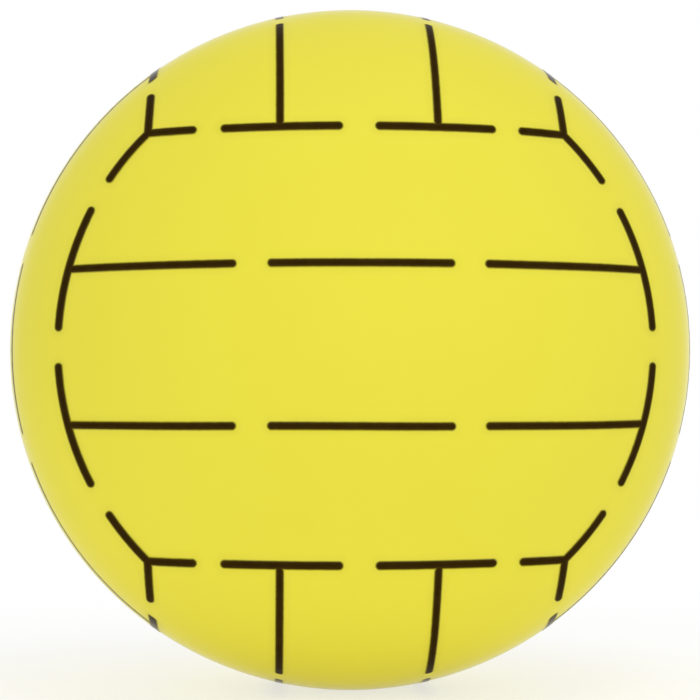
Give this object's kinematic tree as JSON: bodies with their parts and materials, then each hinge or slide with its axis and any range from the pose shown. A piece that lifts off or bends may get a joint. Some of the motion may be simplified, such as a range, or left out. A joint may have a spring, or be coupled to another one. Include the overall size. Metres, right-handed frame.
{
  "type": "water polo ball",
  "caption": "Round seamless yellow rubber ball for water polo with broken dark painted panel lines, a wound air bladder and a self-closing needle valve.",
  "frame": {"origin": "centre of the ball", "axes": "+Z out through the valve, -Y the side that the picture shows, +X to the right along that side's strips"},
  "size_m": [0.22, 0.22, 0.2198],
  "materials": {
    "cover_rubber": "satin",
    "winding_thread": "satin",
    "bladder_rubber": "satin",
    "valve_rubber": "matte",
    "plug_rubber": "satin",
    "line_paint": "satin"
  },
  "bodies": {
    "ball": {"cover": "cover_rubber", "winding": "winding_thread", "bladder": "bladder_rubber", "valve_boot": "valve_rubber", "corner_marks": "line_paint", "tee_marks": "line_paint", "bar_marks": "line_paint"},
    "plug": {"valve_plug": "plug_rubber"}
  },
  "joints": [
    {"name": "valve_plug_pull", "type": "slide", "parent": "ball", "child": "plug", "axis": [0, 0, 1], "range_m": [0, 0.03]}
  ]
}
